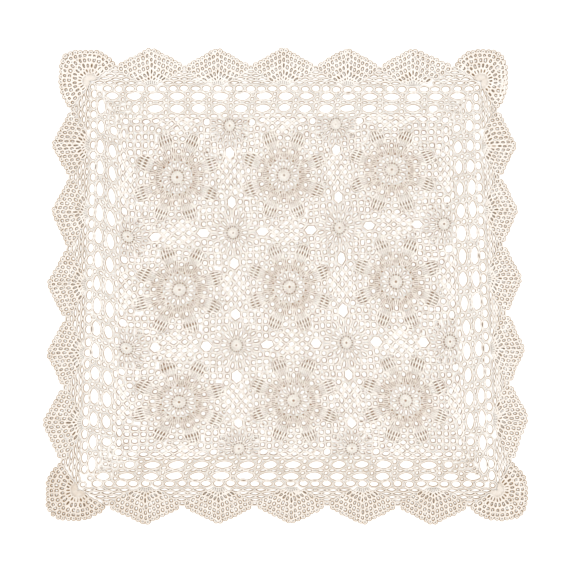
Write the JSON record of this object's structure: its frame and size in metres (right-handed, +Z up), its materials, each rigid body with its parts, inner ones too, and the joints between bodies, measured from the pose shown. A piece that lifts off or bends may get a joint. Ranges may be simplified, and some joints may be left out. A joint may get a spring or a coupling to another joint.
{
  "type": "crochet tablecloth",
  "caption": "Square openwork crochet tablecloth lying flat, with flower medallions joined by small wheels and a wide mesh border edged in scalloped fans.",
  "frame": {"origin": "middle of the cloth's outline, on the surface it lies on", "axes": "+Z up out of the cloth's face, +X along its lower edge to the right, +Y to its upper edge"},
  "size_m": [0.6055, 0.5952, 0.0029],
  "materials": {
    "medallion_cotton": "matt cream cotton thread, raised petals and open net",
    "wheel_cotton": "matt cream cotton thread, small spoked wheels",
    "border_cotton": "matt cream cotton thread, open arches and mesh fans"
  },
  "bodies": {
    "root": {"medallion_1_1": "medallion_cotton", "medallion_1_2": "medallion_cotton", "medallion_1_3": "medallion_cotton", "medallion_2_1": "medallion_cotton", "medallion_2_2": "medallion_cotton", "medallion_2_3": "medallion_cotton", "medallion_3_1": "medallion_cotton", "medallion_3_2": "medallion_cotton", "medallion_3_3": "medallion_cotton", "wheel_1_1": "wheel_cotton", "wheel_1_2": "wheel_cotton", "wheel_2_1": "wheel_cotton", "wheel_2_2": "wheel_cotton", "side_wheel_top_1": "wheel_cotton", "side_wheel_top_2": "wheel_cotton", "border_top": "border_cotton", "side_wheel_left_1": "wheel_cotton", "side_wheel_left_2": "wheel_cotton", "border_left": "border_cotton", "side_wheel_bottom_1": "wheel_cotton", "side_wheel_bottom_2": "wheel_cotton", "border_bottom": "border_cotton", "side_wheel_right_1": "wheel_cotton", "side_wheel_right_2": "wheel_cotton", "border_right": "border_cotton", "corner_fan_top_left": "border_cotton", "corner_fan_top_right": "border_cotton", "corner_fan_bottom_right": "border_cotton", "corner_fan_bottom_left": "border_cotton"}
  },
  "joints": []
}
